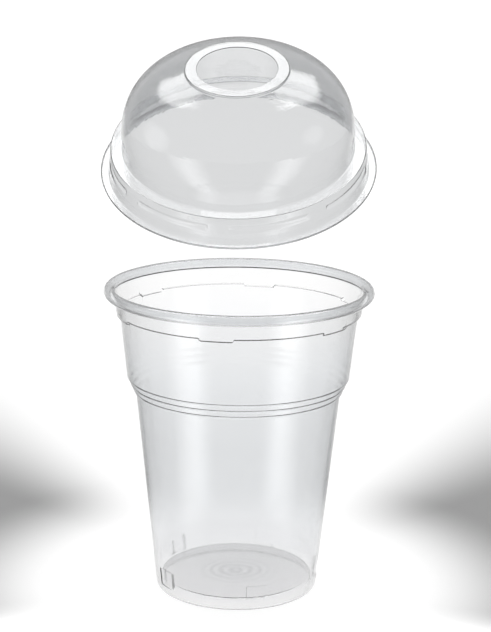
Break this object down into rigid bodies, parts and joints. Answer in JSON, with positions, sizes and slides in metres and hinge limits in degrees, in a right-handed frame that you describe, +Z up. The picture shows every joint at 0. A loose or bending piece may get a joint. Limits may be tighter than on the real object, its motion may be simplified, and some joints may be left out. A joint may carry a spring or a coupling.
{
  "type": "plastic cup with lid",
  "caption": "Clear thermoformed cold-drink cup with rolled rim, stepped shoulder and raised floor, and a clear press-on dome lid with a round hole, lifted off.",
  "frame": {"origin": "centre of the circle the cup stands on", "axes": "+Z up along the cup's axis, -Y towards the front, where the lid is tipped, +X to the right seen from the front"},
  "size_m": [0.1032, 0.1473, 0.1911],
  "materials": {
    "cup_clear": "clear",
    "lid_clear": "clear, glossy"
  },
  "bodies": {
    "root": {"cup": "cup_clear", "dome_lid": "lid_clear"}
  },
  "joints": []
}
